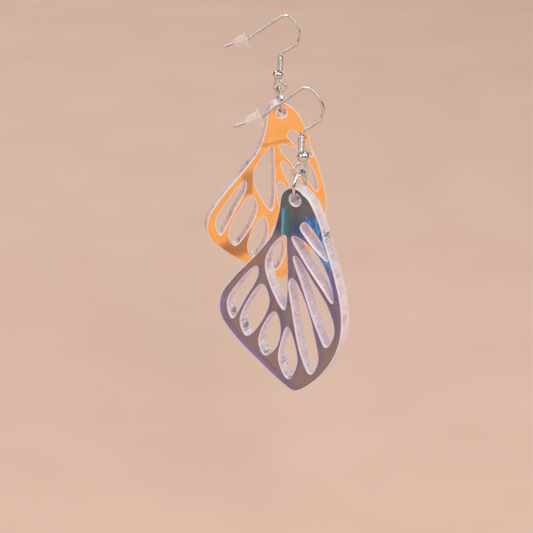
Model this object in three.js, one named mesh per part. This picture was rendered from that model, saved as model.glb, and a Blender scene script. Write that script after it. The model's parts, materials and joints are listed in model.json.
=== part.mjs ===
// A pair of wing-shaped drop earrings, hanging one behind the other from their ear wires.
//
// Each earring is a clear acrylic wing with an iridescent film on its face, a jump ring, a fish-hook
// ear wire that carries a tight coil and a bead, and a silicone stopper on the wire's tail.
//
// Millimetres, +Z up, +X to the right of someone facing the wings, +Y away from them.
// The origin is where the front ear wire rests, on the underside of its arch.

import * as THREE from "three";

// ---- driving dimensions, mm and degrees ----

const pairSpacing = 57.5; // from the front ear wire to the rear one
const seatGap = 0.2; // left open where one piece hangs on another

// ear wire
const wireDiameter = 0.64;
const tailTip = [-13.3, -7.7]; // x and z of the tail's end
const tailAngle = 21.6; // the straight tail's rise towards the arch
const tailStraight = 5.9;
const stemTop = -9.2; // z where the wire starts to run straight down
const stemDrop = 8.55; // from there to the middle of the loop's lowest wire
const slantAngle = 24; // between the stem and the slant under it, which carries the bead

// coil on the stem, and bead on the slant
const coilWire = 0.25;
const coilTop = 0.1; // above the top of the stem
const coilTurns = 12;
const coilPitch = 0.265;
const stemClearance = 0.07; // between the stem and what is threaded on it
const beadDiameter = 2.3;
const beadHeight = 1.65;
const beadStart = 0.37; // from the top of the slant to the bead
const slantGap = 0.02; // from the coil's bottom to the top of the slant

// jump ring
const ringWire = 0.7;
const ringInside = 4.8; // inside diameter
const ringSplit = 0.12; // the cut that the ring is opened at

// wing
const panelThickness = 3.0;
const filmThickness = 0.15;
const filmGap = 0.05; // glue line between the film and the panel
const holeDiameter = 2.6;
const rimRadius = 3.05; // of the wing's round top
const rimCentre = [-0.3, -0.6]; // of that round top, from the hole's centre

// stopper
const stopperLength = 3.5;
const flangeDiameter = 3.9;
const flangeThickness = 0.55;
const shoulderDiameter = 2.9;
const noseDiameter = 1.6;
const stopperClearance = 0.1; // between its bore and the wire

// mesh fineness
const wireSides = 8;
const wireSteps = 120;
const coilSides = 6;
const coilStepsPerTurn = 10;
const ringSteps = 44;
const roundSegments = 24;
const pointsPerKnot = 4; // on the outlines of the wing and its cells

// ---- materials ----

const steel = () => new THREE.MeshStandardMaterial({ color: 0xc9c9cc, roughness: 0.18, metalness: 1.0 });
const silicone = () => new THREE.MeshStandardMaterial({ color: 0xeadfe0, roughness: 0.35, metalness: 0.0 });
const acrylic = () => new THREE.MeshStandardMaterial({ color: 0xd9cccf, roughness: 0.12, metalness: 0.0 });
const mauveFilm = () => new THREE.MeshStandardMaterial({ color: 0x8c7778, roughness: 0.15, metalness: 0.3 });
const amberFilm = () => new THREE.MeshStandardMaterial({ color: 0xffb355, roughness: 0.15, metalness: 0.3 });

// ---- shared helpers ----

const radians = THREE.MathUtils.degToRad;

function named(name, geometry, material) {
  const mesh = new THREE.Mesh(geometry, material);
  mesh.name = name;
  return mesh;
}

// A round wire through a list of points.
function wire(points, diameter, sides, steps) {
  const section = new THREE.Shape();
  for (let side = 0; side < sides; side += 1) {
    const turn = (2 * Math.PI * side) / sides;
    const x = 0.5 * diameter * Math.cos(turn);
    const y = 0.5 * diameter * Math.sin(turn);
    if (side === 0) section.moveTo(x, y);
    else section.lineTo(x, y);
  }
  const route = new THREE.CatmullRomCurve3(points, false, "centripetal");
  route.arcLengthDivisions = 10 * steps;
  return new THREE.ExtrudeGeometry(section, { steps, extrudePath: route, bevelEnabled: false });
}

// A closed smooth outline through a few knots, as points.
function smoothOutline(knots) {
  const corners = knots.map(([x, z]) => new THREE.Vector3(x, z, 0));
  const curve = new THREE.CatmullRomCurve3(corners, true, "centripetal");
  const points = curve.getPoints(pointsPerKnot * knots.length);
  points.pop();
  return points.map((point) => new THREE.Vector2(point.x, point.y));
}

// Turns a profile of [radius, height] pairs about Z; the profile closes on itself.
function turned(profile) {
  const points = profile.map(([radius, height]) => new THREE.Vector2(radius, height));
  points.push(points[0].clone());
  return new THREE.LatheGeometry(points, roundSegments);
}

// ---- ear wire: tail, arch, front bend, stem and loop in one length of wire ----

const tailDirection = [Math.cos(radians(tailAngle)), Math.sin(radians(tailAngle))];

function tailPoint(distance) {
  return [tailTip[0] + distance * tailDirection[0], tailTip[1] + distance * tailDirection[1]];
}

const hookKnots = [
  [-6.4, -4.35],
  [-4.2, -2.75],
  [-1.95, -1.0],
  [-0.8, -0.15],
  [0.1, 0.4],
  [0.95, 0.42],
  [1.85, -0.25],
  [3.1, -1.65],
  [3.9, -3.2],
  [4.05, -4.6],
  [3.55, -6.1],
  [2.1, -7.3],
  [0.8, -8.1],
  [0.2, -8.65],
];

// The stem's own frame has its origin at the top of the stem, with the stem running down its -Z.
const coilLength = coilTurns * coilPitch;
const coilBottom = coilTop - coilLength - coilWire;
const slantTop = coilBottom - slantGap;

function slantPoint(distance) {
  const angle = radians(slantAngle);
  return [distance * Math.sin(angle), slantTop - distance * Math.cos(angle)];
}

// The loop, from the slant round to the wire's end, as x and height above its lowest wire.
const loopKnots = [
  [1.02, 2.35],
  [1.15, 1.6],
  [1.15, 0.95],
  [0.82, 0.28],
  [0, 0],
  [-0.75, 0.14],
  [-1.35, 0.6],
  [-1.5, 1.2],
  [-1.1, 1.85],
  [-0.4, 2.38],
  [0.1, 2.62],
];

const stemKnots = [
  [0, 0],
  [0, 0.5 * coilBottom],
  [0, coilBottom + 0.25],
  slantPoint(0.1),
  slantPoint(beadStart - 0.07),
  slantPoint(beadStart + beadHeight + 0.08),
  slantPoint(beadStart + beadHeight + 0.23),
  ...loopKnots.map(([x, height]) => [x, height - stemDrop]),
];

// stemLean turns the stem and what is under it about the stem's top. hand is 1 where the slant leads to the
// loop's +X side, and -1 where it leads to the other side.
function earWire(hand, stemLean) {
  const bent = [
    tailPoint(0),
    tailPoint(0.5),
    tailPoint(tailStraight - 0.25),
    tailPoint(tailStraight),
    ...hookKnots,
  ].map(([x, z]) => new THREE.Vector3(x, 0, z));
  const lean = new THREE.Euler(0, radians(stemLean), 0);
  const top = new THREE.Vector3(0, 0, stemTop);
  const hanging = stemKnots.map(([x, z]) => new THREE.Vector3(hand * x, 0, z).applyEuler(lean).add(top));
  return wire([...bent, ...hanging], wireDiameter, wireSides, wireSteps);
}

// ---- coil on the stem and bead on the slant, both in the stem's frame ----

function coil() {
  const radius = 0.5 * wireDiameter + stemClearance + 0.5 * coilWire;
  const steps = coilTurns * coilStepsPerTurn;
  const points = [];
  for (let i = 0; i <= steps; i += 1) {
    const turn = (2 * Math.PI * i) / coilStepsPerTurn;
    const z = coilTop - 0.5 * coilWire - (coilLength * i) / steps;
    points.push(new THREE.Vector3(radius * Math.cos(turn), radius * Math.sin(turn), z));
  }
  return wire(points, coilWire, coilSides, steps);
}

// A ball with flattened ends, bored for the wire.
function bead(hand) {
  const boreRadius = 0.5 * wireDiameter + stemClearance;
  const halfHeight = 0.5 * beadHeight;
  const bulge = 0.5 * beadDiameter;
  const endRadius = 0.55 * bulge;
  const arcs = 8;
  const profile = [[boreRadius, -halfHeight]];
  for (let i = 0; i <= arcs; i += 1) {
    const lift = Math.PI * (i / arcs - 0.5);
    profile.push([endRadius + (bulge - endRadius) * Math.cos(lift), halfHeight * Math.sin(lift)]);
  }
  profile.push([boreRadius, halfHeight]);
  const geometry = turned(profile);
  const [x, z] = slantPoint(beadStart + halfHeight);
  geometry.rotateX(0.5 * Math.PI);
  geometry.rotateY(radians(-hand * slantAngle));
  geometry.translate(hand * x, 0, z);
  return geometry;
}

// ---- jump ring ----

const ringInsideRadius = 0.5 * ringInside;
const ringRadius = ringInsideRadius + 0.5 * ringWire;
const ringCentre = 0.5 * wireDiameter + seatGap - ringInsideRadius; // from the loop's bottom

// The ring stands in the YZ plane, with its split on the +Y side.
function jumpRing() {
  const halfSplit = (0.5 * ringSplit) / ringRadius;
  const points = [];
  for (let i = 0; i <= ringSteps; i += 1) {
    const angle = halfSplit + ((2 * Math.PI - 2 * halfSplit) * i) / ringSteps;
    points.push(new THREE.Vector3(0, ringRadius * Math.cos(angle), ringRadius * Math.sin(angle)));
  }
  const geometry = wire(points, ringWire, wireSides, ringSteps);
  geometry.translate(0, 0, ringCentre);
  return geometry;
}

// ---- wing: a flat panel and the film on its face, both cut to one outline ----

const wingThickness = panelThickness + filmGap + filmThickness;
const rimDrop = Math.sqrt((ringInsideRadius - seatGap) ** 2 - (0.5 * wingThickness) ** 2);
const holeCentre = ringCentre - rimDrop - 0.5 * holeDiameter; // from the loop's bottom

// From here to the end of the cells, [x, z] is measured from the hole's centre, facing the wing.
const wingEdgeKnots = [
  [3.1, 0.7],
  [5.6, -3.3],
  [7.5, -8.4],
  [10.0, -14.8],
  [11.8, -21.6],
  [11.8, -28.6],
  [8.9, -35.6],
  [4.2, -41.1],
  [1.5, -42.75],
  [-1.2, -41.8],
  [-7.2, -38.3],
  [-13.9, -33.7],
  [-17.2, -29.9],
  [-17.3, -25.6],
  [-14.2, -20.5],
  [-8.7, -13.8],
  [-5.2, -8.7],
  [-3.7, -3.3],
];

function rimArc() {
  const firstAngle = 165;
  const lastAngle = 45;
  const stretches = 5;
  const points = [];
  for (let i = 0; i <= stretches; i += 1) {
    const angle = radians(firstAngle + ((lastAngle - firstAngle) * i) / stretches);
    points.push([rimCentre[0] + rimRadius * Math.cos(angle), rimCentre[1] + rimRadius * Math.sin(angle)]);
  }
  return points;
}

const cells = {
  leadingSmall: [[1.5, -5.6], [2.5, -4.35], [4.7, -5.9], [6.7, -8.4], [8.0, -11.3], [5.4, -9.8], [3.0, -7.6]],
  leadingUpper: [
    [-0.3, -8.2], [0.6, -7.9], [4.2, -9.5], [7.3, -13.0], [9.2, -17.0], [9.6, -20.2], [7.2, -17.7], [2.5, -12.4],
  ],
  leadingLower: [
    [0.2, -12.3], [0.8, -12.2], [5.0, -16.9], [8.7, -21.7], [10.3, -26.6], [8.6, -30.4], [6.6, -27.4], [2.6, -18.4],
  ],
  middleLong: [
    [-0.6, -18.1], [0.2, -17.2], [3.2, -21.6], [5.6, -28.2], [6.85, -34.3], [5.2, -37.6], [2.8, -33.6], [0.4, -24.2],
  ],
  tipDrop: [[-0.6, -28.4], [0.9, -31.0], [1.9, -36.2], [-0.1, -40.2], [-2.35, -36.8], [-1.7, -31.2]],
  lowerDrop: [[-3.7, -25.8], [-2.4, -29.0], [-3.3, -33.8], [-6.0, -36.3], [-7.4, -33.7], [-5.9, -28.5]],
  lowerOval: [[-6.9, -20.3], [-5.3, -23.5], [-7.5, -29.5], [-10.6, -33.0], [-12.2, -30.2], [-9.6, -23.5]],
  outerLeaf: [[-8.5, -16.6], [-8.2, -18.3], [-11.1, -24.3], [-14.3, -30.0], [-15.5, -26.6], [-13.0, -21.7]],
  broadLeaf: [[-2.0, -8.2], [-5.2, -11.7], [-6.4, -15.6], [-4.6, -20.8], [-1.7, -24.6], [-1.2, -22.8], [-1.6, -10.5]],
};

function wingShape() {
  // the edge runs anticlockwise, which lets each cell run either way
  const edge = smoothOutline([...rimArc(), ...wingEdgeKnots]).reverse();
  const shape = new THREE.Shape(edge);
  for (const knots of Object.values(cells)) {
    shape.holes.push(new THREE.Path(smoothOutline(knots)));
  }
  const hole = new THREE.Path();
  hole.absarc(0, 0, 0.5 * holeDiameter, 0, 2 * Math.PI, false);
  shape.holes.push(new THREE.Path(hole.getSpacedPoints(roundSegments).slice(0, -1)));
  return shape;
}

// A sheet cut to the wing's outline, standing in the XZ plane from y = front to y = front + thickness.
function wingSheet(thickness, front) {
  const geometry = new THREE.ExtrudeGeometry(wingShape(), { depth: thickness, bevelEnabled: false });
  geometry.rotateX(0.5 * Math.PI);
  geometry.translate(0, front + thickness, 0);
  return geometry;
}

const filmFront = -0.5 * wingThickness;
const panelFront = filmFront + filmThickness + filmGap;

// ---- stopper, pushed on the tail ----

const stopperRest = tailStraight - 0.25; // its flange's place on the tail, from the tip

// The bore runs along Z; the flange is at z = 0 and the nose at z = stopperLength.
function stopper() {
  const boreRadius = 0.5 * wireDiameter + stopperClearance;
  const flange = 0.5 * flangeDiameter;
  const shoulder = 0.5 * shoulderDiameter;
  const nose = 0.5 * noseDiameter;
  const profile = [
    [boreRadius, 0],
    [flange - 0.1, 0],
    [flange, 0.15],
    [flange - 0.05, flangeThickness - 0.1],
    [shoulder, flangeThickness],
    [0.5 * (shoulder + nose) + 0.22, 0.55 * stopperLength],
    [nose + 0.14, 0.85 * stopperLength],
    [nose, stopperLength - 0.15],
    [nose - 0.12, stopperLength],
    [boreRadius, stopperLength],
  ];
  const geometry = turned(profile);
  geometry.rotateX(0.5 * Math.PI);
  geometry.rotateY(radians(-90 - tailAngle));
  const [x, z] = tailPoint(stopperRest);
  geometry.translate(x, 0, z);
  return geometry;
}

// ---- one earring, and the pair ----

// wireTilt turns the ear wire in its own plane, about where it rests; ringLean does the same for the ring.
function earring({ side, place, hand, wireTilt, stemLean, ringTurn, ringLean, wingTurn, film }) {
  const group = new THREE.Group();
  group.position.y = place;

  const hook = new THREE.Group();
  hook.rotation.y = radians(wireTilt);
  hook.add(named(`${side}_ear_wire`, earWire(hand, stemLean), steel()));
  hook.add(named(`${side}_stopper`, stopper(), silicone()));
  group.add(hook);

  const stem = new THREE.Group();
  stem.position.z = stemTop;
  stem.rotation.y = radians(stemLean);
  stem.add(named(`${side}_coil`, coil(), steel()));
  stem.add(named(`${side}_bead`, bead(hand), steel()));
  hook.add(stem);

  const loop = new THREE.Vector3(0, 0, -stemDrop).applyEuler(stem.rotation).add(stem.position);
  loop.applyEuler(hook.rotation);
  const ring = named(`${side}_jump_ring`, jumpRing(), steel());
  ring.position.copy(loop);
  ring.rotation.set(0, radians(ringLean), radians(ringTurn), "YZX");
  group.add(ring);

  const wing = new THREE.Group();
  const hole = new THREE.Vector3(0, 0, holeCentre).applyEuler(ring.rotation);
  wing.position.copy(loop).add(hole);
  wing.rotation.z = radians(wingTurn);
  wing.add(named(`${side}_wing_panel`, wingSheet(panelThickness, panelFront), acrylic()));
  wing.add(named(`${side}_wing_film`, wingSheet(filmThickness, filmFront), film));
  group.add(wing);
  return group;
}

const pair = new THREE.Group();
pair.add(
  earring({
    side: "front",
    place: 0,
    hand: 1,
    wireTilt: 0,
    stemLean: 0,
    ringTurn: -29,
    ringLean: 0,
    wingTurn: -35,
    film: mauveFilm(),
  }),
);
pair.add(
  earring({
    side: "rear",
    place: pairSpacing,
    hand: -1,
    wireTilt: 2.2,
    stemLean: -2.2,
    ringTurn: 7,
    ringLean: -4,
    wingTurn: 11,
    film: amberFilm(),
  }),
);

export default pair;
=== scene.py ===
# %% [markdown]
# # A pair of wing drop earrings
# Each earring is a wing cut from clear 3 mm acrylic sheet, with an iridescent film on its face. It hangs
# by a jump ring from a fish-hook ear wire, which carries a tight coil and a bead, and a soft stopper on
# its tail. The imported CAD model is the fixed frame: its joints say where each part hangs and which way it
# faces. This lesson makes a finer surface for each part in millimetres, puts it in its place in metres,
# and then gives it a finish made of nodes.

# %% Load the frame
import json
from collections import namedtuple

import bpy
import numpy as np
from mathutils import Matrix, Vector
from mathutils.geometry import tessellate_polygon


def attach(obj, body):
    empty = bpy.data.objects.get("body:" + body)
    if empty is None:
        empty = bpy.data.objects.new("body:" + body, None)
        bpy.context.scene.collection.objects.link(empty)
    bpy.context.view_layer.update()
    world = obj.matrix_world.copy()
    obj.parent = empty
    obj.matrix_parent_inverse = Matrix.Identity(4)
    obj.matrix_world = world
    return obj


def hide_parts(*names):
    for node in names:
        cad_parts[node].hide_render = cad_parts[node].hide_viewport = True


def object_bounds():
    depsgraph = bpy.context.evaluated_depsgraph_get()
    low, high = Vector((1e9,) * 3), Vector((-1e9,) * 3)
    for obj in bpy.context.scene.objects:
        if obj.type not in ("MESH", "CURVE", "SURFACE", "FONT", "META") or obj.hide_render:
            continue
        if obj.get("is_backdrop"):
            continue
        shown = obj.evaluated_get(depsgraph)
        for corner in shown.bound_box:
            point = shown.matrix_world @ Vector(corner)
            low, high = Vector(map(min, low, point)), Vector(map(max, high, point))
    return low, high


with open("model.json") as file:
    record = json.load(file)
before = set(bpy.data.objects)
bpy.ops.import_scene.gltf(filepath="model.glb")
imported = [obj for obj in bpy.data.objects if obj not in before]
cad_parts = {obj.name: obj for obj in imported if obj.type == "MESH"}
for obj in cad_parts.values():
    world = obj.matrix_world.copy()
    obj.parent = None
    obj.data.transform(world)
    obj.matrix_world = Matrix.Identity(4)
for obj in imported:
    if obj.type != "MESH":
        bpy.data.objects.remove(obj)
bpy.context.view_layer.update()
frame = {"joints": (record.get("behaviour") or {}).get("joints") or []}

SIDES = ("front", "rear")

# %% [markdown]
# ## Where each earring hangs
# A joint in the frame gives a point and a direction, and those are all that the placing needs. The ring's
# hinge is at the lowest wire of the ear wire's loop. The wing's hinge is at the middle of its hole, and
# points out of its face. The stopper slides along the tail, so its way says how far the ear wire leans.
# The coil turns about the stem, and the bead about the slanting wire under it, which leads to one side of
# the loop.

# %% Read the places from the joints
joints = {joint["name"]: joint for joint in frame["joints"]}


def point_mm(name):
    """A joint's place, in millimetres."""
    return 1000 * np.array(joints[name]["pos_m"], float)


def direction(name):
    """A joint's axis, one unit long."""
    axis = np.array(joints[name]["axis"], float)
    return axis / np.linalg.norm(axis)


def about_y(angle):
    """Turns a point about Y, from Z towards X: x = x cos + z sin, z = z cos - x sin."""
    c, s = np.cos(angle), np.sin(angle)
    return np.array([[c, 0, s], [0, 1, 0], [-s, 0, c]])


def about_z(angle):
    """Turns a point about Z, from X towards Y: x = x cos - y sin, y = x sin + y cos."""
    c, s = np.cos(angle), np.sin(angle)
    return np.array([[c, -s, 0], [s, c, 0], [0, 0, 1]])


TAIL_RISE = np.radians(21.6)  # from the tail's tip towards the arch
STEM_TOP = -9.2  # down from the arch to where the wire starts to run straight down
STEM_DROP = 8.55  # from there to the loop's lowest wire
RING_TURN = {"front": -29.0, "rear": 7.0}  # degrees that each jump ring has turned in its loop

hook_turn, hook_place, stem_turn, stem_place, hand = {}, {}, {}, {}, {}
ring_turn, ring_place, wing_turn, wing_place, wing_angle = {}, {}, {}, {}, {}
for side in SIDES:
    loop = point_mm(f"{side}_ring_swing")
    hole = point_mm(f"{side}_wing_swing")
    tail = direction(f"{side}_stopper_slide")
    stem = direction(f"{side}_coil_spin")
    slant = direction(f"{side}_bead_spin")
    face = direction(f"{side}_wing_swing")
    lean = loop - hole
    hand[side] = -np.sign(slant[0])
    stem_turn[side] = about_y(np.arctan2(stem[0], stem[2]))
    stem_place[side] = loop + stem_turn[side] @ (0, 0, STEM_DROP)
    hook_turn[side] = about_y(TAIL_RISE - np.arctan2(-tail[2], -tail[0]))
    hook_place[side] = stem_place[side] - hook_turn[side] @ (0, 0, STEM_TOP)
    ring_turn[side] = about_y(np.arctan2(lean[0], lean[2])) @ about_z(np.radians(RING_TURN[side]))
    ring_place[side] = loop
    wing_angle[side] = np.arctan2(face[0], -face[1])
    wing_turn[side] = about_z(wing_angle[side])
    wing_place[side] = hole
    print(side, "arch at", hook_place[side].round(3), "wing turned", round(np.degrees(wing_angle[side]), 1))

# %% [markdown]
# ## The camera
# The view is from in front, to the left and above, down on the two wings, through a long lens. It comes
# first, so that each new part can be looked at as it is made.

# %% Set the camera
VIEW_FROM = (-0.02550, -0.27815, 0.08361)
VIEW_ACROSS = np.radians(3.99)  # from straight ahead towards +X
VIEW_DOWN = np.radians(23.48)
VIEW_ROLL = np.radians(1.81)
LENS_MM = 100.4
SENSOR_MM = 36.0
NEAREST = 0.01

level = np.array([np.cos(VIEW_ACROSS), -np.sin(VIEW_ACROSS), 0])
ahead = np.array([np.sin(VIEW_ACROSS) * np.cos(VIEW_DOWN), np.cos(VIEW_ACROSS) * np.cos(VIEW_DOWN),
                  -np.sin(VIEW_DOWN)])
upright = np.cross(level, ahead)
right = np.cos(VIEW_ROLL) * level + np.sin(VIEW_ROLL) * upright
up = np.cross(right, ahead)

lens = bpy.data.cameras.new("camera")
lens.lens = LENS_MM
lens.sensor_width = SENSOR_MM
lens.clip_start = NEAREST
camera = bpy.data.objects.new("camera", lens)
camera.matrix_world = Matrix(np.column_stack([right, up, -ahead]).tolist()).to_4x4()
camera.location = VIEW_FROM
bpy.context.scene.collection.objects.link(camera)
bpy.context.scene.camera = camera
print("camera looks along", ahead.round(3))

# %% [markdown]
# ## Tools for shapes
# Bent wire, a coil, a ring, a bead and a stopper are all one idea: a grid of points, with one count along
# the part and one count round it. A wire is a circle carried along a path. A turned part is a profile
# carried round an axis. The grid is worked out as whole arrays, and only then handed to Blender.

# %% Smooth curves through knots
Shape = namedtuple("Shape", "points faces uv")  # mm; lists of corners; one (along, round) pair a corner


def smooth_through(knots, per_knot, closed=False):
    """A centripetal Catmull-Rom curve. Between two knots it is a cubic a + b t + c t^2 + d t^3 whose
    slope at each end comes from the knots on both sides, timed by the square root of their distances,
    so it never overshoots."""
    knots = np.asarray(knots, float)
    if closed:
        four = [np.roll(knots, shift, axis=0) for shift in (1, 0, -1, -2)]
    else:
        longer = np.vstack([2 * knots[0] - knots[1], knots, 2 * knots[-1] - knots[-2]])
        four = [longer[i:len(longer) - 3 + i] for i in range(4)]
    before, start, end, after = four
    t0, t1, t2 = [np.sqrt(np.linalg.norm(b - a, axis=1))[:, None] for a, b in zip(four, four[1:])]
    slope_a = t1 * ((start - before) / t0 - (end - before) / (t0 + t1) + (end - start) / t1)
    slope_b = t1 * ((end - start) / t1 - (after - start) / (t1 + t2) + (after - end) / t2)
    c = -3 * start + 3 * end - 2 * slope_a - slope_b
    d = 2 * start - 2 * end + slope_a + slope_b
    t = (np.arange(per_knot) / per_knot)[None, :, None]
    curve = start[:, None] + slope_a[:, None] * t + c[:, None] * t**2 + d[:, None] * t**3
    curve = curve.reshape(-1, knots.shape[1])
    return curve if closed else np.vstack([curve, knots[-1]])


def evenly(path, count):
    """The same path with its points an equal length apart, by reading each coordinate off against
    length."""
    length = np.concatenate([[0], np.cumsum(np.linalg.norm(np.diff(path, axis=0), axis=1))])
    at = np.linspace(0, length[-1], count)
    return np.column_stack([np.interp(at, length, path[:, k]) for k in range(path.shape[1])])


# %% Grids of points, tubes and turned parts
def grid(points, along, capped=True, ring=False):
    """Joins rows of points, each row closed on itself, into a skin of quads. Capped ends get one flat
    face each, and a ring joins its last row to its first."""
    rows, around = points.shape[:2]
    first = np.arange(rows if ring else rows - 1)[:, None]
    j = np.arange(around)[None, :]
    corner_row = np.stack([first + 0 * j, first + 0 * j, first + 1 + 0 * j, first + 1 + 0 * j], axis=-1)
    corner_round = np.stack([j + 0 * first, j + 1 + 0 * first, j + 1 + 0 * first, j + 0 * first], axis=-1)
    quads = (corner_row % rows) * around + corner_round % around
    along = np.append(along, 2 * along[-1] - along[-2])
    uv = np.stack([along[corner_row], corner_round / around], axis=-1)
    faces = quads.reshape(-1, 4).tolist()
    uv = uv.reshape(-1, 2)
    if capped and not ring:
        lid = np.arange(around)
        faces += [lid[::-1].tolist(), (lid + (rows - 1) * around).tolist()]
        rims = [np.column_stack([np.full(around, along[end]), lid / around]) for end in (0, rows - 1)]
        uv = np.vstack([uv, *rims])
    return Shape(points.reshape(-1, 3), faces, uv)


def tube(path, sideways, radius, around=24):
    """A circle carried along a path. At each point the circle's first direction is the path's own
    direction crossed with a fixed sideways direction, and its second completes the right angle."""
    ahead = np.gradient(path, axis=0)
    ahead /= np.linalg.norm(ahead, axis=1)[:, None]
    out = np.cross(ahead, sideways)
    out /= np.linalg.norm(out, axis=1)[:, None]
    across = np.cross(ahead, out)
    turn = 2 * np.pi * np.arange(around) / around
    radius = np.broadcast_to(radius, len(path))[:, None, None]
    spokes = out[:, None] * np.cos(turn)[None, :, None] + across[:, None] * np.sin(turn)[None, :, None]
    along = np.concatenate([[0], np.cumsum(np.linalg.norm(np.diff(path, axis=0), axis=1))])
    return grid(path[:, None] + radius * spokes, along)


def turned(profile, around=64):
    """A closed profile of [radius, height] carried round Z: x = radius cos, y = radius sin, z =
    height."""
    turn = 2 * np.pi * np.arange(around) / around
    points = np.stack([profile[:, :1] * np.cos(turn), profile[:, :1] * np.sin(turn),
                       profile[:, 1:] + 0 * turn], axis=-1)
    step = np.linalg.norm(np.diff(profile, axis=0), axis=1)
    return grid(points, np.concatenate([[0], np.cumsum(step)]), ring=True)


# %% Hand a shape to Blender
def outward(shape):
    """The same shape with its faces pointing out. The sum of each face's centre dotted with its area
    vector is three times the volume, and it is negative when the skin is inside out."""
    tri = np.array([(f[0], f[k], f[k + 1]) for f in shape.faces for k in range(1, len(f) - 1)])
    a, b, c = (shape.points[tri[:, k]] for k in range(3))
    if np.einsum("ij,ij->", a, np.cross(b, c)) > 0:
        return shape
    ends = np.cumsum([len(f) for f in shape.faces])
    uv = [shape.uv[end - len(f):end][::-1] for end, f in zip(ends, shape.faces)]
    return Shape(shape.points, [f[::-1] for f in shape.faces], np.vstack(uv))


def make_piece(side, part, body, shape, turn=np.eye(3), place=0, sharp=40, slots=None):
    """Turns a shape and moves it to its place, and makes it a mesh object that stands for one CAD
    node."""
    shape = outward(shape)
    mesh = bpy.data.meshes.new(f"{side}_{part}_fine")
    mesh.from_pydata(((shape.points @ turn.T + place) / 1000).tolist(), [], shape.faces)
    mesh.uv_layers.new(name="millimetres").uv.foreach_set("vector", shape.uv.ravel())
    mesh.polygons.foreach_set("use_smooth", np.ones(len(mesh.polygons), bool))
    mesh.set_sharp_from_angle(angle=np.radians(sharp))
    if slots is not None:
        mesh.polygons.foreach_set("material_index", slots)
    mesh.update()
    piece = bpy.data.objects.new(f"{side}_{part}_fine", mesh)
    bpy.context.scene.collection.objects.link(piece)
    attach(piece, f"{side}_{body}")
    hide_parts(f"{side}_{part}")
    pieces[side, part] = piece
    print(f"{piece.name}: {len(mesh.vertices)} points, {len(mesh.polygons)} faces")


pieces = {}

# %% [markdown]
# ## The ear wire
# One length of 0.64 mm wire is bent over a former: a straight tail, an arch that goes through the ear, a
# full bend in front of it, a straight stem, a slant, and a loop at the bottom that the jump ring hangs
# in. The tail's tip is rounded off so that it goes through the ear. A smooth curve through a few bends
# gives the path, and a circle is carried along it. The rear loop is bent to the other hand.

# %% Bend the ear wires
WIRE = 0.64
# The frame's wires have eight flat sides. A round wire of the full width bulges past the flats, and the front
# ring would then cut into the loop when it swings its whole way, so a round wire has this share of the width.
POLISHED = 0.94
TAIL_TIP = np.array([-13.3, -7.7])
TAIL_STRAIGHT = 5.9
TAIL_WAY = np.array([np.cos(TAIL_RISE), np.sin(TAIL_RISE)])
ARCH_TO_STEM = [
    [-6.4, -4.35], [-4.2, -2.75], [-1.95, -1.0], [-0.8, -0.15], [0.1, 0.4], [0.95, 0.42], [1.85, -0.25],
    [3.1, -1.65], [3.9, -3.2], [4.05, -4.6], [3.55, -6.1], [2.1, -7.3], [0.8, -8.1], [0.2, -8.65],
]
COIL_WIRE = 0.25
COIL_TOP = 0.1  # above the top of the stem
COIL_TURNS = 12
COIL_PITCH = 0.265
STEM_CLEARANCE = 0.07
BEAD_HEIGHT = 1.65
BEAD_START = 0.37  # from the top of the slant to the bead
SLANT_GAP = 0.02  # from the foot of the coil to the top of the slant
KNOT_GAP = 0.25  # between the last two knots of a straight stretch
KNOT_POINTS = 24
ROUTE_POINTS = 440
TIP_START = 0.04  # of the radius: how far in from the tip its rounding starts
SLANT = np.radians(24)
SLANT_WAY = np.array([np.sin(SLANT), -np.cos(SLANT)])
LOOP = [
    [1.02, 2.35], [1.15, 1.6], [1.15, 0.95], [0.82, 0.28], [0, 0], [-0.75, 0.14], [-1.35, 0.6], [-1.5, 1.2],
    [-1.1, 1.85], [-0.4, 2.38], [0.1, 2.62],
]  # x, and height above the lowest wire

coil_bottom = COIL_TOP - COIL_TURNS * COIL_PITCH - COIL_WIRE
slant_top = np.array([0, coil_bottom - SLANT_GAP])
bead_end = BEAD_START + BEAD_HEIGHT
tail = TAIL_TIP + np.outer([0, 0.5, TAIL_STRAIGHT - KNOT_GAP, TAIL_STRAIGHT], TAIL_WAY)
straight = [[0, 0], [0, coil_bottom / 2], [0, coil_bottom + KNOT_GAP]]
slanted = slant_top + np.outer([0.1, BEAD_START - 0.07, bead_end + 0.08, bead_end + 0.23], SLANT_WAY)
hanging = np.vstack([straight, slanted, np.array(LOOP) - (0, STEM_DROP)])

for side in SIDES:
    arch = np.insert(np.vstack([tail, ARCH_TO_STEM]), 1, 0, axis=1) @ hook_turn[side].T + hook_place[side]
    stem = np.insert(hanging * (hand[side], 1), 1, 0, axis=1) @ stem_turn[side].T + stem_place[side]
    route = evenly(smooth_through(np.vstack([arch, stem]), KNOT_POINTS), ROUTE_POINTS)
    from_tip = np.linspace(0, 1, len(route)) * np.linalg.norm(np.diff(route, axis=0), axis=1).sum()
    rounding = np.clip(from_tip / (WIRE / 2), TIP_START, 1)
    wire_radius = POLISHED * WIRE / 2 * np.sqrt(1 - (1 - rounding) ** 2)
    ear_wire = tube(route, (0, 1, 0), wire_radius)
    make_piece(side, "ear_wire", "hook", ear_wire)
print("wire in one ear wire:", round(from_tip[-1], 1), "mm")

# %% [markdown]
# ## The coil and the bead
# Fine wire is wound on a rod the size of the stem, slid on and pushed up under the bend. A helix is a
# circle that moves down by one pitch in each turn. The bead is a small ball with flattened ends, drilled
# through, so its profile is a half round with a straight bore. It sits on the slant, so it is turned by
# the slant's own angle.

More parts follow.
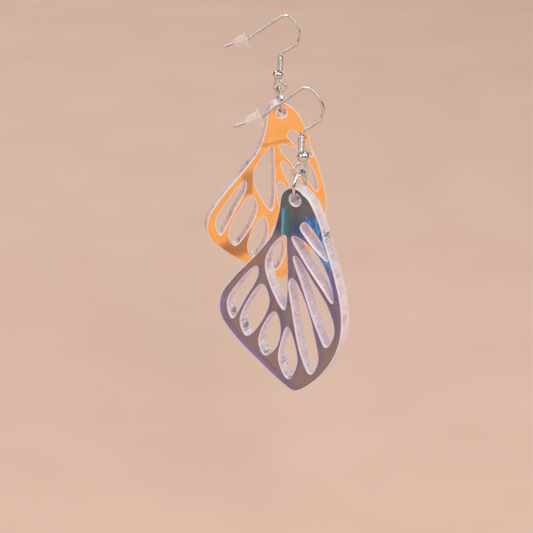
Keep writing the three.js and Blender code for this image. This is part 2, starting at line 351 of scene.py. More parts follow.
# %% Wind the coils
coil_radius = WIRE / 2 + STEM_CLEARANCE + COIL_WIRE / 2
turns = np.linspace(0, COIL_TURNS, 40 * COIL_TURNS + 1)
helix = np.column_stack([
    coil_radius * np.cos(2 * np.pi * turns),
    coil_radius * np.sin(2 * np.pi * turns),
    COIL_TOP - COIL_WIRE / 2 - COIL_PITCH * turns,
])
coil = tube(helix, (0, 0, 1), COIL_WIRE / 2, around=14)
for side in SIDES:
    make_piece(side, "coil", "coil", coil, stem_turn[side], stem_place[side])

# %% Turn the beads
BEAD = 2.3
BEAD_FLAT = 0.55  # of its width, at each end

bore = WIRE / 2 + STEM_CLEARANCE
flat = BEAD_FLAT * BEAD / 2
lift = np.linspace(-np.pi / 2, np.pi / 2, 33)
outside = np.column_stack([flat + (BEAD / 2 - flat) * np.cos(lift), BEAD_HEIGHT / 2 * np.sin(lift)])
inside = [[bore, BEAD_HEIGHT / 2], [bore, -BEAD_HEIGHT / 2]]
bead = turned(np.vstack([outside, inside]))
for side in SIDES:
    x, z = (slant_top + (BEAD_START + BEAD_HEIGHT / 2) * SLANT_WAY) * (hand[side], 1)
    place = stem_place[side] + stem_turn[side] @ (x, 0, z)
    bead_turn = stem_turn[side] @ about_y(-hand[side] * SLANT)
    make_piece(side, "bead", "bead", bead, bead_turn, place)

# %% [markdown]
# ## The jump ring
# A jump ring is wire wound once round a rod and sawn through. The saw leaves a thin split with two flat
# ends, so the ring isn't a torus but a tube along almost a full turn. It stands across the wing, through
# its hole.

# %% Close the jump rings
RING_WIRE = 0.7
RING_INSIDE = 4.8
RING_SPLIT = 0.12
SEAT_GAP = 0.2

ring_radius = (RING_INSIDE + RING_WIRE) / 2
ring_centre = WIRE / 2 + SEAT_GAP - RING_INSIDE / 2
half_split = RING_SPLIT / 2 / ring_radius
turn = np.linspace(half_split, 2 * np.pi - half_split, 161)
circle = np.column_stack([0 * turn, ring_radius * np.cos(turn), ring_centre + ring_radius * np.sin(turn)])
jump_ring = tube(circle, (1, 0, 0), POLISHED * RING_WIRE / 2)
for side in SIDES:
    make_piece(side, "jump_ring", "ring", jump_ring, ring_turn[side], ring_place[side])

# %% [markdown]
# ## The stopper
# The stopper is moulded in soft clear silicone: a thin brim that fingers push on, and a bullet-shaped
# body that grips the wire. It is a turned part too. Its body bulges a little before it narrows to the
# nose, and each edge of the mould is slightly round.

# %% Mould the stoppers
STOPPER_LENGTH = 3.5
BRIM = 3.9 / 2
SHOULDER = 2.9 / 2
NOSE = 1.6 / 2
STOPPER_REST = TAIL_STRAIGHT - KNOT_GAP  # its brim's place on the tail, from the tip
STOPPER_CLEARANCE = 0.1

stopper_bore = WIRE / 2 + STOPPER_CLEARANCE
brim = smooth_through([[BRIM - 0.2, 0], [BRIM - 0.04, 0.06], [BRIM, 0.2], [BRIM - 0.06, 0.36],
                       [BRIM - 0.28, 0.44], [SHOULDER, 0.6]], 5)
body = smooth_through([[SHOULDER, 0.6], [SHOULDER - 0.09, 1.25], [SHOULDER - 0.24, 2.0], [NOSE + 0.17, 2.9],
                       [NOSE, 3.3], [NOSE - 0.12, 3.46], [NOSE - 0.26, STOPPER_LENGTH]], 8)
profile = np.vstack([[stopper_bore, 0], [0.6 * BRIM, 0.05], brim, body[1:], [stopper_bore, STOPPER_LENGTH]])
stopper = turned(profile)
tail_turn = about_y(-np.pi / 2 - TAIL_RISE)
rest_x, rest_z = TAIL_TIP + STOPPER_REST * TAIL_WAY
stopper = Shape(stopper.points @ tail_turn.T + (rest_x, 0, rest_z), stopper.faces, stopper.uv)
for side in SIDES:
    make_piece(side, "stopper", "stopper", stopper, hook_turn[side], hook_place[side])

# %% [markdown]
# ## The wing
# The wing is cut from sheet by a laser: one outer edge with a round top, nine open cells and a hole. Each
# line is a smooth curve through a few knots, measured from the hole's middle, facing the wing. The laser
# leaves a wall square to the sheet, with a hair of a bevel at each rim that catches the light.

# %% Draw the wing's outlines
RIM_RADIUS = 3.05
RIM_CENTRE = np.array([-0.3, -0.6])
HOLE_RADIUS = 1.3
WING_EDGE = [
    [3.1, 0.7], [5.6, -3.3], [7.5, -8.4], [10.0, -14.8], [11.8, -21.6], [11.8, -28.6],
    [8.9, -35.6], [4.2, -41.1], [1.5, -42.75], [-1.2, -41.8], [-7.2, -38.3], [-13.9, -33.7],
    [-17.2, -29.9], [-17.3, -25.6], [-14.2, -20.5], [-8.7, -13.8], [-5.2, -8.7], [-3.7, -3.3],
]
CELLS = {
    "leading small": [[1.5, -5.6], [2.5, -4.35], [4.7, -5.9], [6.7, -8.4], [8.0, -11.3],
                      [5.4, -9.8], [3.0, -7.6]],
    "leading upper": [[-0.3, -8.2], [0.6, -7.9], [4.2, -9.5], [7.3, -13.0], [9.2, -17.0], [9.6, -20.2],
                      [7.2, -17.7], [2.5, -12.4]],
    "leading lower": [[0.2, -12.3], [0.8, -12.2], [5.0, -16.9], [8.7, -21.7], [10.3, -26.6], [8.6, -30.4],
                      [6.6, -27.4], [2.6, -18.4]],
    "middle long": [[-0.6, -18.1], [0.2, -17.2], [3.2, -21.6], [5.6, -28.2], [6.85, -34.3], [5.2, -37.6],
                    [2.8, -33.6], [0.4, -24.2]],
    "tip drop": [[-0.6, -28.4], [0.9, -31.0], [1.9, -36.2], [-0.1, -40.2], [-2.35, -36.8], [-1.7, -31.2]],
    "lower drop": [[-3.7, -25.8], [-2.4, -29.0], [-3.3, -33.8], [-6.0, -36.3], [-7.4, -33.7], [-5.9, -28.5]],
    "lower oval": [[-6.9, -20.3], [-5.3, -23.5], [-7.5, -29.5], [-10.6, -33.0], [-12.2, -30.2],
                   [-9.6, -23.5]],
    "outer leaf": [[-8.5, -16.6], [-8.2, -18.3], [-11.1, -24.3], [-14.3, -30.0], [-15.5, -26.6],
                   [-13.0, -21.7]],
    "broad leaf": [[-2.0, -8.2], [-5.2, -11.7], [-6.4, -15.6], [-4.6, -20.8], [-1.7, -24.6], [-1.2, -22.8],
                   [-1.6, -10.5]],
}


def running(line, anticlockwise):
    """The line, run the way asked: twice a line's area is the sum of x1 z2 - x2 z1, positive
    anticlockwise."""
    after = np.roll(line, -1, axis=0)
    area = (line[:, 0] * after[:, 1] - after[:, 0] * line[:, 1]).sum()
    return line if (area > 0) == anticlockwise else line[::-1]


top = np.radians(np.linspace(165, 45, 6))
round_top = RIM_CENTRE + RIM_RADIUS * np.column_stack([np.cos(top), np.sin(top)])
around = 2 * np.pi * np.arange(72) / 72
outlines = [running(smooth_through(np.vstack([round_top, WING_EDGE]), 12, closed=True), True)]
outlines += [running(smooth_through(knots, 14, closed=True), False) for knots in CELLS.values()]
outlines += [running(HOLE_RADIUS * np.column_stack([np.cos(around), np.sin(around)]), False)]
print("outlines:", len(outlines), "points:", sum(map(len, outlines)))

# %% [markdown]
# A line's left side is material when the outer edge runs anticlockwise and each opening runs clockwise,
# so one rule gives the way out of the material everywhere: the line's direction turned a quarter to the
# right. The wall is the same short section carried along each line, and the two faces are filled between
# the walls' rims.

# %% Cut a sheet to those outlines
FACE_SLOT = 0
WALL_SLOT = 1


def sheet(front, back, inset, depth):
    """A wall section of [inset, y] carried along every outline, and two flat faces filled between the
    rims."""
    section = np.array([[inset, front], [0, front + depth], [0, back - depth], [inset, back]])
    points, faces, uv, slots, rims, start = [], [], [], [], [], 0
    down = np.concatenate([[0], np.cumsum(np.linalg.norm(np.diff(section, axis=0), axis=1))])
    for line in outlines:
        ahead = np.roll(line, -1, axis=0) - np.roll(line, 1, axis=0)
        ahead /= np.linalg.norm(ahead, axis=1)[:, None]
        out = np.column_stack([ahead[:, 1], -ahead[:, 0]])
        wall = line[None] - section[:, :1, None] * out[None]
        rows = np.stack([wall[..., 0], section[:, 1:] + 0 * wall[..., 0], wall[..., 1]], axis=-1)
        skin = grid(rows, down, capped=False)
        length = np.linalg.norm(line - np.roll(line, 1, axis=0), axis=1).sum()
        points.append(skin.points)
        faces += [[start + k for k in face[::-1]] for face in skin.faces]
        uv.append((skin.uv[:, ::-1] * (length, 1)).reshape(-1, 4, 2)[:, ::-1].reshape(-1, 2))
        rims.append((start + np.arange(len(line)), start + 3 * len(line) + np.arange(len(line)), rows))
        start += len(skin.points)
    slots += [WALL_SLOT] * len(faces)
    for end, flip in ((0, False), (1, True)):
        loops = [rows[3 * end][:, [0, 2]] for _, _, rows in rims]
        index = np.concatenate([rim[end] for rim in rims])
        flat = np.vstack(loops)
        triangles = np.array(tessellate_polygon([[Vector((*p, 0)) for p in loop] for loop in loops]))
        a, b, c = (flat[triangles[:, k]] for k in range(3))
        area = (b - a)[:, 0] * (c - a)[:, 1] - (b - a)[:, 1] * (c - a)[:, 0]
        turned_back = (area < 0) != flip
        triangles[turned_back] = triangles[turned_back][:, ::-1]
        faces += index[triangles].tolist()
        uv.append(flat[triangles].reshape(-1, 2))
        slots += [FACE_SLOT] * len(triangles)
    return Shape(np.vstack(points), faces, np.vstack(uv)), np.array(slots, np.int32)


PANEL = 3.0
FILM = 0.15
FILM_GAP = 0.05
PANEL_BEVEL = (0.2, 0.2)  # in from the cut, and down from the face
FILM_BEVEL = (0.17, 0.06)
SMOOTH_BELOW = 25  # degrees between two wall faces that still shade as one curve
film_front = -(PANEL + FILM_GAP + FILM) / 2
panel_front = film_front + FILM + FILM_GAP
panel, panel_slots = sheet(panel_front, panel_front + PANEL, *PANEL_BEVEL)
film, film_slots = sheet(film_front, film_front + FILM, *FILM_BEVEL)
for side in SIDES:
    make_piece(side, "wing_panel", "wing", panel, wing_turn[side], wing_place[side],
               sharp=SMOOTH_BELOW, slots=panel_slots)
    make_piece(side, "wing_film", "wing", film,
               wing_turn[side], wing_place[side], sharp=SMOOTH_BELOW, slots=film_slots)

# %% [markdown]
# ## Tools for finishes
# A finish is a small graph of nodes. Colours are written as a painter's 0 to 255 values and changed to
# the linear values that Blender works in. Patterns read the piece's own coordinates in millimetres, so
# they stay on it when it swings.

# %% Nodes, colours and coordinates
def colour(red, green, blue):
    """A 0 to 255 colour as linear light: below 0.04045 divide by 12.92, above it ((c + 0.055) / 1.055)
    ^ 2.4."""
    c = np.array([red, green, blue]) / 255
    return (*np.where(c <= 0.04045, c / 12.92, ((c + 0.055) / 1.055) ** 2.4).tolist(), 1.0)


def add(tree, kind, feeds=None, **settings):
    """Adds a node and its settings. A feed that is another node's output is linked, and any other
    value is set."""
    made = tree.nodes.new("ShaderNode" + kind)
    for name, value in settings.items():
        setattr(made, name, value)
    for socket, value in (feeds or {}).items():
        if isinstance(value, bpy.types.NodeSocket):
            tree.links.new(value, made.inputs[socket])
        else:
            made.inputs[socket].default_value = value
    return made


def finish(name):
    """A new material with an empty graph, and its output node."""
    material = bpy.data.materials.new(name)
    material.use_nodes = True
    material.node_tree.nodes.clear()
    return material, material.node_tree, add(material.node_tree, "OutputMaterial")


def in_mm(tree, place=(0, 0, 0), angle=0.0):
    """The piece's coordinates in millimetres from a place, turned about Z to face the part."""
    where = add(tree, "TexCoord").outputs["Object"]
    return add(tree, "Mapping", {
        "Vector": where,
        "Location": (np.array(place) / 1000).tolist(),
        "Rotation": (0, 0, angle),
        "Scale": (0.001, 0.001, 0.001),
    }, vector_type="TEXTURE").outputs["Vector"]


def cloud(tree, where, scale, detail=3.0, stretch=(1, 1, 1), seed=0.0):
    """Soft noise with so many lumps in a millimetre, drawn out along an axis by a small stretch
    number."""
    moved = add(tree, "Mapping", {
        "Vector": where, "Scale": stretch, "Location": (seed, seed, seed),
    }).outputs[0]
    return add(tree, "TexNoise", {"Vector": moved, "Scale": scale, "Detail": detail}).outputs["Fac"]


def ramp(tree, amount, *stops):
    """A colour that runs through stops of (amount, colour)."""
    made = add(tree, "ValToRGB", {"Fac": amount})
    elements = made.color_ramp.elements
    while len(elements) < len(stops):
        elements.new(0.5)
    for element, (at, paint) in zip(elements, stops):
        element.position = at
        element.color = paint
    return made.outputs["Color"]


def spread(tree, amount, low, high, to_low=0.0, to_high=1.0):
    """Moves a number from one range to another and holds it there, with soft ends."""
    return add(tree, "MapRange", {
        "Value": amount, "From Min": low, "From Max": high, "To Min": to_low, "To Max": to_high,
    }, interpolation_type="SMOOTHSTEP").outputs["Result"]


def blend(tree, amount, a, b):
    """A mix of two colours, from a at 0 to b at 1."""
    made = add(tree, "Mix", data_type="RGBA")
    for socket, value in ((made.inputs[0], amount), (made.inputs[6], a), (made.inputs[7], b)):
        if isinstance(value, bpy.types.NodeSocket):
            tree.links.new(value, socket)
        else:
            socket.default_value = value
    return made.outputs[2]


def sums(tree, how, *numbers):
    """Arithmetic on two or three numbers."""
    return add(tree, "Math", dict(enumerate(numbers)), operation=how).outputs[0]


def band(tree, amount, start, full, fade, end):
    """1 between full and fade, falling softly to 0 at start and end."""
    return sums(tree, "MULTIPLY", spread(tree, amount, start, full), spread(tree, amount, end, fade))


def bump(tree, height, strength, distance_mm):
    """A small unevenness of so many millimetres."""
    return add(tree, "Bump", {
        "Height": height, "Strength": strength, "Distance": distance_mm / 1000,
    }).outputs[0]


# %% [markdown]
# ## Polished steel
# Stamped and drawn findings are barrel polished. Polished steel has no colour pattern of its own, so what
# tells it from a mirror is slight: roughness that drifts from place to place and hairline scratches. A warm
# tint in patches is a painted reflection of the warm surroundings.

# %% Make the steel
def polished_steel():
    """Bright metal: tone and roughness follow a soft noise, and hairlines add a little roughness and a
    bump."""
    material, tree, out = finish("polished steel")
    where = in_mm(tree)
    patches = cloud(tree, where, 0.6)
    hairlines = cloud(tree, where, 9.0, detail=5.0, stretch=(1, 1, 0.15))
    # the warmest stop is a painted reflection of warm surroundings, laid on in patches of the noise
    tone = ramp(tree, patches, (0.35, colour(220, 219, 217)), (0.6, colour(236, 235, 233)),
                (0.8, colour(240, 235, 226)))
    drifting = spread(tree, patches, 0.3, 0.7, 0.13, 0.23)
    scratched = spread(tree, hairlines, 0.5, 0.8, 0, 0.08)
    rough = sums(tree, "ADD", drifting, scratched)
    skin = add(tree, "BsdfPrincipled", {
        "Base Color": tone, "Metallic": 1.0, "Roughness": rough, "Specular Tint": colour(120, 116, 112),
        "Normal": bump(tree, hairlines, 0.25, 0.01),
    })
    tree.links.new(skin.outputs[0], out.inputs["Surface"])
    return material


steel = polished_steel()
for side in SIDES:
    for part in ("ear_wire", "coil", "bead", "jump_ring"):
        pieces[side, part].data.materials.append(steel)
print("steel on", 4 * len(SIDES), "pieces")

# %% [markdown]
# ## Silicone
# Clear silicone is milky where the light runs along its skin and lets the wire show through where it is
# looked at square on. Layer Weight gives that: more skin at the edges, more see-through in the middle. It
# is clearer still for shadow rays, so that lamp light reaches the wire inside.

# %% Make the silicone
def clear_silicone():
    """Milk mixed over clear: the share of milk grows with Facing, and drops for shadow rays."""
    material, tree, out = finish("silicone")
    where = in_mm(tree)
    haze = cloud(tree, where, 1.1)
    tone = ramp(tree, haze, (0.3, colour(236, 226, 222)), (0.7, colour(252, 248, 246)))
    skin = add(tree, "BsdfPrincipled", {
        "Base Color": tone, "Roughness": spread(tree, haze, 0.3, 0.7, 0.2, 0.34), "Coat Weight": 0.6,
        "Coat Roughness": 0.1, "Normal": bump(tree, cloud(tree, where, 5.0), 0.15, 0.03),
    })
    glow = add(tree, "BsdfTranslucent", {"Color": tone})
    milk = add(tree, "MixShader", {"Fac": 0.4, 1: skin.outputs[0], 2: glow.outputs[0]})
    through = add(tree, "BsdfTransparent", {"Color": colour(250, 242, 240)})
    edge = add(tree, "LayerWeight", {"Blend": 0.45}).outputs["Facing"]
    shadow = add(tree, "LightPath").outputs["Is Shadow Ray"]
    milky = spread(tree, edge, 0.0, 0.9, 0.48, 0.97)
    solid = sums(tree, "SUBTRACT", milky, sums(tree, "MULTIPLY", shadow, 0.4))
    mixed = add(tree, "MixShader", {"Fac": solid, 1: through.outputs[0], 2: milk.outputs[0]})
    tree.links.new(mixed.outputs[0], out.inputs["Surface"])
    return material


silicone = clear_silicone()
for side in SIDES:
    pieces[side, "stopper"].data.materials.append(silicone)

# %% [markdown]
# ## Acrylic: clear faces and frosted cut walls
# The sheet's own faces are as clear as glass and bend what is seen through them. Light from a lamp has to
# get through as well, so for shadow rays the glass becomes a faintly grey filter. The cut walls are
# another matter: the laser melts them into fine ripples that run straight through the sheet, so they
# scatter light and look frosted, pinkish white, with darker ticks where the ripples are deep. A near white
# band along each rim is a painted highlight. Some lamp light passes through a wall too. Seen from inside,
# through the sheet, a wall takes a painted colour cast of its film's light: violet blue on the front wing,
# pink on the rear. Backfacing tells the inside of a wall from its outside.

# %% Make the clear faces and the cut walls
def clear_face():
    """Glass with faint waves, and a plain filter in its place for shadow rays."""
    material, tree, out = finish("clear acrylic")
    where = in_mm(tree)
    waves = cloud(tree, where, 0.25, detail=1.0)
    glass = add(tree, "BsdfPrincipled", {
        "Base Color": ramp(tree, waves, (0.3, colour(246, 240, 241)), (0.7, colour(252, 249, 249))),
        "Roughness": 0.02, "IOR": 1.49, "Transmission Weight": 1.0, "Normal": bump(tree, waves, 0.1, 0.05),
    })
    filter_only = add(tree, "BsdfTransparent", {"Color": colour(244, 240, 240)})
    shadow = add(tree, "LightPath").outputs["Is Shadow Ray"]
    mixed = add(tree, "MixShader", {"Fac": shadow, 1: glass.outputs[0], 2: filter_only.outputs[0]})
    tree.links.new(mixed.outputs[0], out.inputs["Surface"])
    return material


TIP_SLOPE = 0.69
TIP_RISE = 40.3


def cut_wall(side, painted_film_light):
    """Frost with fine lines across the cut, dark ticks near the tips and in patches, and pale rims that are a
    painted highlight. Its inside takes a painted colour cast of the film's light, and glows more."""
    material, tree, out = finish(f"{side} cut acrylic wall")
    along = add(tree, "UVMap", uv_map="millimetres").outputs[0]
    where = in_mm(tree, wing_place[side], wing_angle[side])
    fine = cloud(tree, along, 4.5, detail=3.0, stretch=(1, 0.1, 1))
    ticks = cloud(tree, along, 3.2, detail=1.0, stretch=(1, 0.16, 1), seed=7.0)
    axes = add(tree, "SeparateXYZ", {"Vector": where}).outputs
    # height, in mm, over a slanting line below the tips of the outer cells
    over_tips = sums(tree, "ADD", sums(tree, "MULTIPLY_ADD", axes["X"], TIP_SLOPE, axes["Z"]), TIP_RISE)
    near_tips = spread(tree, over_tips, 2.6, 1.4)
    # one short stretch of the leading edge, a little below the hole
    lead = sums(tree, "MULTIPLY", spread(tree, axes["X"], 4.0, 5.0),
                band(tree, axes["Z"], -8.5, -7.8, -5.6, -5.0))
    rough_cut = spread(tree, cloud(tree, where, 0.16, detail=1.0, seed=3.0), 0.6, 0.72, 0.0, 0.6)
    rough_cut = sums(tree, "MAXIMUM", rough_cut, sums(tree, "MAXIMUM", near_tips, lead))
    drift = cloud(tree, where, 0.3, detail=2.0)
    frost = ramp(tree, fine, (0.36, colour(216, 198, 196)), (0.6, colour(250, 240, 236)))
    shade = ramp(tree, drift, (0.36, colour(214, 192, 194)), (0.6, colour(250, 240, 236)))
    pale = blend(tree, 0.5, frost, shade)
    dark = sums(tree, "MULTIPLY", spread(tree, ticks, 0.5, 0.42), rough_cut)
    tone = blend(tree, sums(tree, "MULTIPLY", dark, 0.75), pale, colour(110, 94, 104))
    down = add(tree, "SeparateXYZ", {"Vector": along}).outputs["Y"]
    # painted highlight: near white in a band along the front and back rims of each wall
    rims = sums(tree, "SUBTRACT", 1.0, band(tree, down, 0.28, 0.5, 2.6, 2.85))
    tone = blend(tree, sums(tree, "MULTIPLY", rims, 0.75), tone, colour(255, 251, 252))
    inner = add(tree, "NewGeometry").outputs["Backfacing"]
    # painted colour cast: seen from inside, a wall takes its film's light as a tint
    tone = blend(tree, inner, tone, painted_film_light)
    skin = add(tree, "BsdfPrincipled", {
        "Base Color": tone, "Roughness": spread(tree, fine, 0.35, 0.6, 0.2, 0.4),
        "Coat Weight": 0.6, "Coat Roughness": 0.12, "Normal": bump(tree, fine, 0.35, 0.05),
    })
    glow = add(tree, "BsdfTranslucent", {"Color": tone})
    glow_share = sums(tree, "MULTIPLY_ADD", inner, 0.5, 0.25)
    frosted = add(tree, "MixShader", {"Fac": glow_share, 1: skin.outputs[0], 2: glow.outputs[0]})
    let_through = add(tree, "BsdfTransparent", {"Color": colour(214, 200, 206)})
    shadow = sums(tree, "MULTIPLY", add(tree, "LightPath").outputs["Is Shadow Ray"], 0.6)
    mixed = add(tree, "MixShader", {"Fac": shadow, 1: frosted.outputs[0], 2: let_through.outputs[0]})
    tree.links.new(mixed.outputs[0], out.inputs["Surface"])
    return material


face = clear_face()
# the second colour is the painted colour cast of each film's light on the insides of its walls
walls = {"front": cut_wall("front", colour(184, 188, 255)), "rear": cut_wall("rear", colour(236, 206, 206))}
for side in SIDES:
    pieces[side, "wing_panel"].data.materials.append(face)
    pieces[side, "wing_panel"].data.materials.append(walls[side])

# %% [markdown]
# ## The iridescent films
# The film is a stack of layers that send back one colour and let its opposite through. On the front wing
# it reads smoky mauve, with deep teal round the hole and a blue streak down the leading edge. On the rear
# wing it sends back a warm orange, with dusty patches between the outer cells. Each film is part filter,
# part gloss, and its colours are placed in the wing's own coordinates: across and up, in millimetres from
# the hole. Most lamp light passes through it, so that the walls behind are lit.

# %% Make the films
def film_finish(tree, out, where, tone, filtered, solid):
    """A film that is solid by some amount and a coloured filter for the rest, under a clear gloss."""
    grain = cloud(tree, where, 6.0, detail=4.0)
    skin = add(tree, "BsdfPrincipled", {
        "Base Color": tone, "Roughness": spread(tree, grain, 0.3, 0.7, 0.2, 0.32),
        "Coat Weight": 0.7, "Coat Roughness": 0.06, "Normal": bump(tree, cloud(tree, where, 0.5), 0.08, 0.05),
    })
    through = add(tree, "BsdfTransparent", {"Color": filtered})
    mixed = add(tree, "MixShader", {"Fac": solid, 1: through.outputs[0], 2: skin.outputs[0]})
    let_through = add(tree, "BsdfTransparent", {"Color": colour(236, 226, 232)})
    shadow = sums(tree, "MULTIPLY", add(tree, "LightPath").outputs["Is Shadow Ray"], 0.85)
    lit = add(tree, "MixShader", {"Fac": shadow, 1: mixed.outputs[0], 2: let_through.outputs[0]})
    tree.links.new(lit.outputs[0], out.inputs["Surface"])


def mauve_film(side):
    """Smoky mauve, then a violet edge, a painted view of the violet-lit inside of the outer wall seen through
    the sheet, then a dark crown, a blue streak and a teal strip, each blended over the last by bands of
    distance across, up or in from an edge."""
    material, tree, out = finish("mauve film")
    where = in_mm(tree, wing_place[side], wing_angle[side])
    axes = add(tree, "SeparateXYZ", {"Vector": where}).outputs
    drift = sums(tree, "MULTIPLY_ADD", cloud(tree, where, 0.22), 5.0, -2.5)
    across, height = axes["X"], axes["Z"]
    low = sums(tree, "ADD", height, drift)
    # how far in from the leading edge, in mm, by a straight line that the edge follows
    inward = sums(tree, "MULTIPLY_ADD", height, -0.38, sums(tree, "SUBTRACT", 4.3, across))

    body = ramp(tree, cloud(tree, where, 0.13, seed=4.0),
                (0.35, colour(166, 142, 124)), (0.65, colour(180, 158, 142)))
    # painted light: a violet band near the lower and left edges stands in for the violet-lit inside of the
    # outer wall, seen through the sheet
    lower_edge = sums(tree, "MULTIPLY_ADD", sums(tree, "MULTIPLY_ADD", across, 0.64, height), 0.84, 35.9)
    from_edge = sums(tree, "MINIMUM", lower_edge, sums(tree, "ADD", across, 17.4))
    body = blend(tree, spread(tree, from_edge, 1.5, 0.5), body, colour(204, 168, 214))
    centre = band(tree, across, -3.5, -1.0, 0.5, 2.5)
    body = blend(tree, sums(tree, "MULTIPLY", centre, 0.5), body, colour(162, 152, 154))

    olive = ramp(tree, cloud(tree, where, 0.3, seed=9.0),
                 (0.35, colour(66, 86, 88)), (0.65, colour(108, 110, 104)))
    dusk = ramp(tree, cloud(tree, where, 0.4, seed=6.0),
                (0.35, colour(40, 62, 104)), (0.65, colour(60, 86, 116)))
    rightward = sums(tree, "MULTIPLY", spread(tree, across, -0.4, 1.4), 0.8)
    dusk = blend(tree, rightward, dusk, colour(26, 82, 150))
    crown_tone = blend(tree, spread(tree, low, -3.0, -6.5), olive, dusk)
    crown = spread(tree, low, -10.0, -6.5)
    tone = blend(tree, crown, body, crown_tone)

    lines = cloud(tree, where, 1.6, detail=3.0, stretch=(1, 1, 0.35), seed=2.0)
    blue = ramp(tree, lines, (0.38, colour(14, 92, 172)), (0.5, colour(48, 130, 204)),
                (0.64, colour(120, 186, 240)))
    streak = sums(tree, "MULTIPLY", spread(tree, inward, 4.2, 2.6), band(tree, low, -17.0, -11.0, -4.0, -2.0))
    tone = blend(tree, streak, tone, blue)
    peri = sums(tree, "MULTIPLY", spread(tree, inward, 3.2, 1.8), band(tree, low, -27.0, -20.0, -15.0, -10.0))
    tone = blend(tree, sums(tree, "MULTIPLY", peri, 0.5), tone, colour(126, 134, 180))

    strip = sums(tree, "MULTIPLY", band(tree, across, -3.05, -2.8, -1.3, -0.6),
                 band(tree, height, -9.0, -8.2, -2.8, -1.8))
    teal = ramp(tree, spread(tree, across, -3.0, -0.8), (0.0, colour(132, 182, 196)),
                (0.3, colour(28, 128, 144)), (1.0, colour(44, 100, 108)))
    tone = blend(tree, strip, tone, teal)

    strong = sums(tree, "MULTIPLY", sums(tree, "MAXIMUM", streak, strip), 0.85)
    solid = sums(tree, "MAXIMUM", strong, sums(tree, "MULTIPLY_ADD", crown, 0.42, 0.3))
    film_finish(tree, out, where, tone, colour(208, 200, 210), solid)
    return material


def amber_film(side):
    """Orange that drifts a little, with two dusty patches and a faint line, each placed by bands of
    distance."""
    material, tree, out = finish("amber film")
    where = in_mm(tree, wing_place[side], wing_angle[side])
    axes = add(tree, "SeparateXYZ", {"Vector": where}).outputs
    body = ramp(tree, cloud(tree, where, 0.2), (0.3, colour(250, 180, 88)), (0.7, colour(255, 192, 108)))
    wander = sums(tree, "MULTIPLY_ADD", cloud(tree, where, 0.35, seed=5.0), 3.0, -1.5)
    place = sums(tree, "ADD", sums(tree, "MULTIPLY_ADD", axes["X"], -0.5, axes["Z"]), wander)
    dusty = sums(tree, "MULTIPLY", band(tree, place, -33.0, -30.0, -27.0, -24.5),
                 spread(tree, axes["X"], -5.0, -8.0))
    upper = sums(tree, "MULTIPLY", band(tree, axes["X"], -9.8, -8.6, -7.0, -6.2),
                 band(tree, sums(tree, "ADD", axes["Z"], wander), -21.5, -19.5, -15.5, -13.0))
    slope = sums(tree, "MULTIPLY_ADD", axes["X"], -0.15, sums(tree, "MULTIPLY_ADD", wander, 0.4, axes["Z"]))
    line = band(tree, slope, -7.8, -7.4, -7.0, -6.6)
    smoky = sums(tree, "MAXIMUM", sums(tree, "MULTIPLY", dusty, 0.8), sums(tree, "MULTIPLY", upper, 0.65))
    smoky = sums(tree, "MAXIMUM", smoky, sums(tree, "MULTIPLY", line, 0.35))
    tone = blend(tree, smoky, body, colour(172, 106, 74))
    film_finish(tree, out, where, tone, colour(250, 196, 150), 0.86)
    return material


pieces["front", "wing_film"].data.materials.append(mauve_film("front"))
pieces["rear", "wing_film"].data.materials.append(amber_film("rear"))
for side in SIDES:
    pieces[side, "wing_film"].data.materials.append(walls[side])

# %% [markdown]
# ## The studio
# Small shiny parts are lit by what they reflect, so the lamps are large soft panels with darkness between
# them. A wide pale floor lies well below the earrings, and the world is a dome that is bright overhead
# and dim at the horizon, so that wire and beads show a dark band between a pale floor and a pale sky.
# Where the dome itself is in view, it is one plain pale colour.

# %% Lay the floor and hang the lamps
FLOOR_DROP = 0.055  # below the lowest wing tip
FLOOR_HALF = 2.5

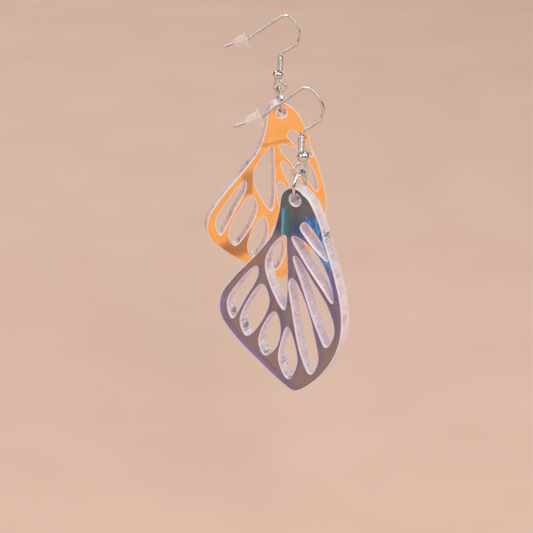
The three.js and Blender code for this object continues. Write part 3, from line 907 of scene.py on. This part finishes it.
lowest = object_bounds()[0].z
floor_mesh = bpy.data.meshes.new("floor")
ways = ((-1, -1), (1, -1), (1, 1), (-1, 1))
corners = [(x * FLOOR_HALF, y * FLOOR_HALF, lowest - FLOOR_DROP) for x, y in ways]
floor_mesh.from_pydata(corners, [], [(0, 1, 2, 3)])
floor = bpy.data.objects.new("floor", floor_mesh)
bpy.context.scene.collection.objects.link(floor)
floor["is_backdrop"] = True

paint, tree, out = finish("floor paint")
where = add(tree, "TexCoord").outputs["Object"]
spots = add(tree, "TexNoise", {"Vector": where, "Scale": 30.0}).outputs["Fac"]
tone = ramp(tree, spots, (0.3, colour(207, 176, 158)), (0.7, colour(211, 181, 163)))
matt = add(tree, "BsdfPrincipled", {"Base Color": tone, "Roughness": 0.85})
tree.links.new(matt.outputs[0], out.inputs["Surface"])
floor_mesh.materials.append(paint)

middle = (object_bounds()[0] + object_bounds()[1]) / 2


def soft_panel(name, offset, size, power, tint):
    """A square soft lamp at an offset from the middle of the pair, turned to face it."""
    lamp = bpy.data.lights.new(name, "AREA")
    lamp.shape = "SQUARE"
    lamp.size = size
    lamp.energy = power
    lamp.color = tint
    hung = bpy.data.objects.new(name, lamp)
    hung.location = middle + Vector(offset)
    hung.rotation_euler = (-Vector(offset)).to_track_quat("-Z", "Y").to_euler()
    bpy.context.scene.collection.objects.link(hung)


soft_panel("key", (0.14, -0.5, 0.45), 0.3, 2.2, (1.0, 0.98, 0.95))
soft_panel("right", (0.6, -0.15, 0.3), 0.3, 0.8, (1.0, 0.97, 0.94))
soft_panel("left", (-0.55, -0.3, 0.25), 0.3, 0.8, (0.95, 0.97, 1.0))
soft_panel("back", (-0.2, 0.6, 0.5), 0.5, 1.4, (1.0, 0.98, 0.96))

DOME_STRENGTH = 0.8

world = bpy.data.worlds.new("studio")
world.use_nodes = True
sky = world.node_tree.nodes["Background"]
way = add(world.node_tree, "TexCoord").outputs["Generated"]
rise = add(world.node_tree, "SeparateXYZ", {"Vector": way}).outputs["Z"]
dome = ramp(world.node_tree, rise, (0.0, colour(84, 72, 68)), (0.3, colour(112, 100, 96)),
            (0.62, colour(250, 247, 245)))
seen = add(world.node_tree, "LightPath").outputs["Is Camera Ray"]
world.node_tree.links.new(blend(world.node_tree, seen, dome, colour(222, 206, 196)), sky.inputs["Color"])
sky.inputs["Strength"].default_value = DOME_STRENGTH
bpy.context.scene.world = world
bpy.context.scene.view_settings.view_transform = "Standard"
